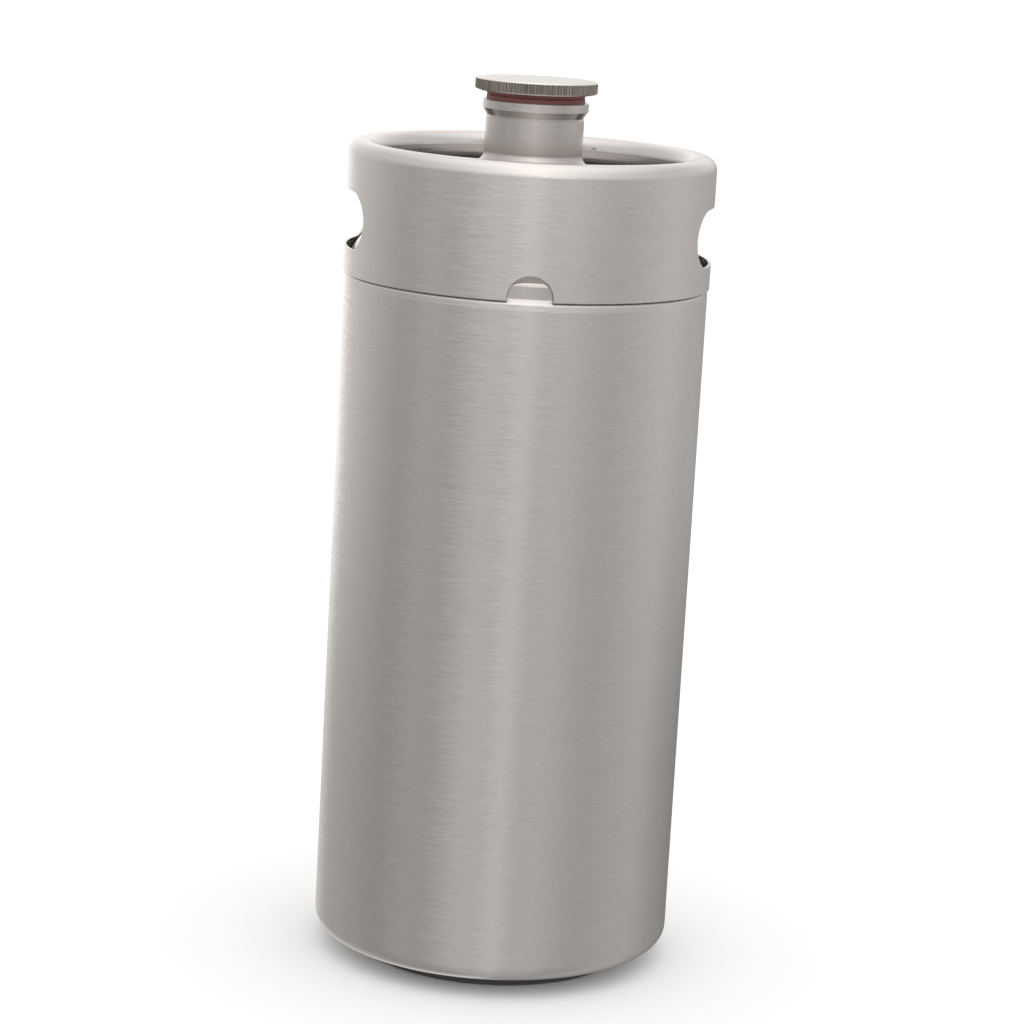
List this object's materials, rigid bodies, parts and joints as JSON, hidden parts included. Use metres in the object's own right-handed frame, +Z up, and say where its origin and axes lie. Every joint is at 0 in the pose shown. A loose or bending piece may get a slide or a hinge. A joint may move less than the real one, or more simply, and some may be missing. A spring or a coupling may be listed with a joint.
{
  "type": "mini keg",
  "caption": "Steel mini keg with a carrying collar, a narrow neck and a knurled screw cap on a silicone seal.",
  "frame": {"origin": "centre of the foot ring's contact face", "axes": "+Z up along the keg's axis, -Y towards the drain notch, +X and -X towards the hand holes"},
  "size_m": [0.1512, 0.1512, 0.3679],
  "materials": {
    "brushed_body": "fine horizontal brushed grain",
    "drawn_steel": "satin as drawn",
    "satin_neck": "fine turned satin",
    "cap_steel": "turned, straight knurl on the rim",
    "seal_silicone": "matte silicone",
    "foot_rubber": "matte",
    "weld_metal": "bright weld bead"
  },
  "bodies": {
    "keg": {"body_tube": "brushed_body", "base_pan": "brushed_body", "foot_ring": "foot_rubber", "shoulder": "drawn_steel", "neck_tube": "satin_neck", "mouth_ring": "satin_neck", "collar": "brushed_body", "base_seam_weld": "weld_metal", "shoulder_seam_weld": "weld_metal", "collar_tack_welds": "weld_metal"},
    "seal": {"seal": "seal_silicone"},
    "cap": {"cap_disc": "cap_steel", "cap_plug": "cap_steel"}
  },
  "joints": [
    {"name": "cap_rise", "type": "slide", "parent": "keg", "child": "seal", "axis": [0, 0, 1], "range_m": [0, 0.015]},
    {"name": "cap_turn", "type": "hinge", "parent": "seal", "child": "cap", "pos_m": [0, 0, 0.3595], "axis": [0, 0, 1], "range_deg": [0, 1800]}
  ],
  "couplings": [
    {"joint": "cap_rise", "follows": "cap_turn", "m_per_rad": 0.00047746}
  ]
}
